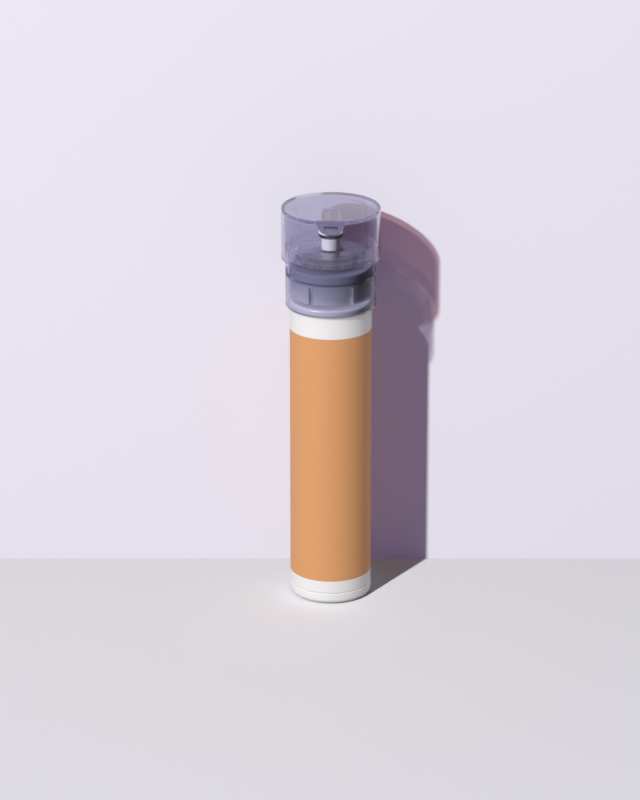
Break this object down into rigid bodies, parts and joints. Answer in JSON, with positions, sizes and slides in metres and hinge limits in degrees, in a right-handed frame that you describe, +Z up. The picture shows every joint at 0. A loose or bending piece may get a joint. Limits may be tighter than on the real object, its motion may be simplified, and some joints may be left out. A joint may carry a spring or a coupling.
{
  "type": "airless pump bottle",
  "caption": "Slim airless pump bottle with a snapped-in base, a label band, two clear collars and a clear press head that turns.",
  "frame": {"origin": "on the bottle's axis, at the surface it stands on", "axes": "+Z up along the bottle's axis, the spout points to -Y, +X to the right seen from the front"},
  "size_m": [0.0336, 0.0336, 0.1398],
  "materials": {
    "white_plastic": "satin",
    "tan_label": "satin",
    "tinted_clear_plastic": "polished, clear",
    "natural_plastic": "as moulded",
    "soft_seal": "matte",
    "spring_steel": "drawn wire",
    "ball_steel": "polished"
  },
  "bodies": {
    "bottle_body": {"bottle": "white_plastic", "base_cap": "white_plastic", "label_wrap": "tan_label", "neck_gasket": "soft_seal", "pump_housing": "natural_plastic", "pump_cap": "natural_plastic", "snap_closure": "tinted_clear_plastic", "lower_collar": "tinted_clear_plastic", "lock_collar": "tinted_clear_plastic", "return_spring": "spring_steel"},
    "stem_group": {"pump_stem": "natural_plastic", "piston_rod": "natural_plastic"},
    "piston_group": {"pump_piston": "natural_plastic"},
    "head_group": {"head_shell": "tinted_clear_plastic", "head_core": "white_plastic", "nozzle_insert": "tinted_clear_plastic"},
    "follower_group": {"follower_piston": "natural_plastic"},
    "ball_group": {"inlet_ball": "ball_steel"}
  },
  "joints": [
    {"name": "head_press", "type": "slide", "parent": "bottle_body", "child": "stem_group", "axis": [0, 0, -1], "range_m": [0, 0.0038], "stiffness_N_per_m": 1200, "springref_m": -0.005, "deforming": ["return_spring"]},
    {"name": "head_twist", "type": "hinge", "parent": "stem_group", "child": "head_group", "pos_m": [0, 0, 0.125], "axis": [0, 0, 1], "range_deg": [0, 90]},
    {"name": "piston_slip", "type": "slide", "parent": "stem_group", "child": "piston_group", "axis": [0, 0, 1], "range_m": [0, 0.001]},
    {"name": "follower_rise", "type": "slide", "parent": "bottle_body", "child": "follower_group", "axis": [0, 0, 1], "range_m": [0, 0.07]},
    {"name": "inlet_ball_lift", "type": "slide", "parent": "bottle_body", "child": "ball_group", "axis": [0, 0, 1], "range_m": [0, 0.001]}
  ]
}
